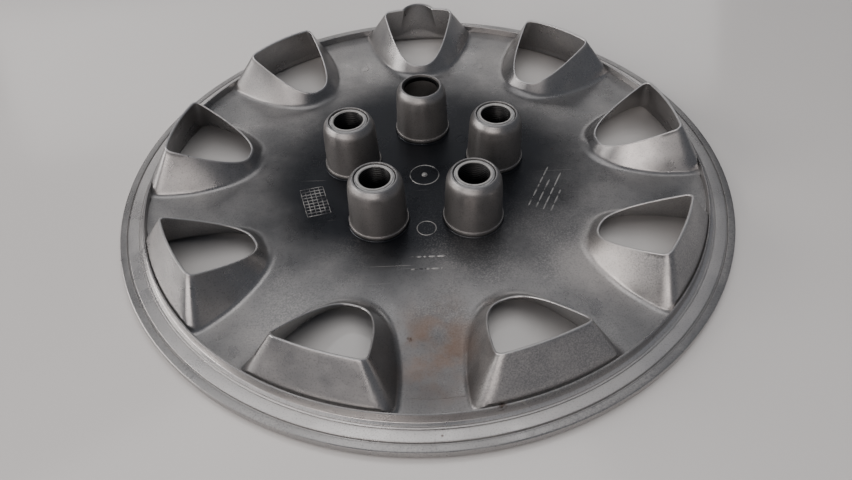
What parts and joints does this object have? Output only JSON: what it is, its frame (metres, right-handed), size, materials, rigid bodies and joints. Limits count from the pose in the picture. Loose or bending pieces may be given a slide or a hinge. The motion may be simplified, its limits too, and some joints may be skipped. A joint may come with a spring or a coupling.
{
  "type": "wheel cover",
  "caption": "Round bolt-on wheel cover lying face down, with hooded vent windows, hollow lug bosses and captive threaded nut caps.",
  "frame": {"origin": "centre of the cover, on the plane that its front face rests on", "axes": "+Z along the wheel's axis, from the front face towards the wheel; +Y towards the valve notch"},
  "size_m": [0.392, 0.392, 0.042],
  "materials": {
    "silver_moulding": "satin silver paint on moulded plastic, worn",
    "cap_plastic": "satin",
    "ring_plastic": "satin"
  },
  "bodies": {
    "cover": {"wheel_cover": "silver_moulding"},
    "retainer_2": {"cap_retainer_2": "ring_plastic"},
    "cap_2": {"nut_cap_2": "cap_plastic"},
    "retainer_3": {"cap_retainer_3": "ring_plastic"},
    "cap_3": {"nut_cap_3": "cap_plastic"},
    "retainer_4": {"cap_retainer_4": "ring_plastic"},
    "cap_4": {"nut_cap_4": "cap_plastic"},
    "retainer_5": {"cap_retainer_5": "ring_plastic"},
    "cap_5": {"nut_cap_5": "cap_plastic"}
  },
  "joints": [
    {"name": "nut_float_2", "type": "slide", "parent": "cover", "child": "retainer_2", "axis": [0, 0, 1], "range_m": [0, 0.0044]},
    {"name": "nut_spin_2", "type": "hinge", "parent": "retainer_2", "child": "cap_2", "pos_m": [-0.04755, 0.01545, 0.041], "axis": [0, 0, 1], "continuous": true},
    {"name": "nut_float_3", "type": "slide", "parent": "cover", "child": "retainer_3", "axis": [0, 0, 1], "range_m": [0, 0.0044]},
    {"name": "nut_spin_3", "type": "hinge", "parent": "retainer_3", "child": "cap_3", "pos_m": [-0.02939, -0.04045, 0.041], "axis": [0, 0, 1], "continuous": true},
    {"name": "nut_float_4", "type": "slide", "parent": "cover", "child": "retainer_4", "axis": [0, 0, 1], "range_m": [0, 0.0044]},
    {"name": "nut_spin_4", "type": "hinge", "parent": "retainer_4", "child": "cap_4", "pos_m": [0.02939, -0.04045, 0.041], "axis": [0, 0, 1], "continuous": true},
    {"name": "nut_float_5", "type": "slide", "parent": "cover", "child": "retainer_5", "axis": [0, 0, 1], "range_m": [0, 0.0044]},
    {"name": "nut_spin_5", "type": "hinge", "parent": "retainer_5", "child": "cap_5", "pos_m": [0.04755, 0.01545, 0.041], "axis": [0, 0, 1], "continuous": true}
  ]
}
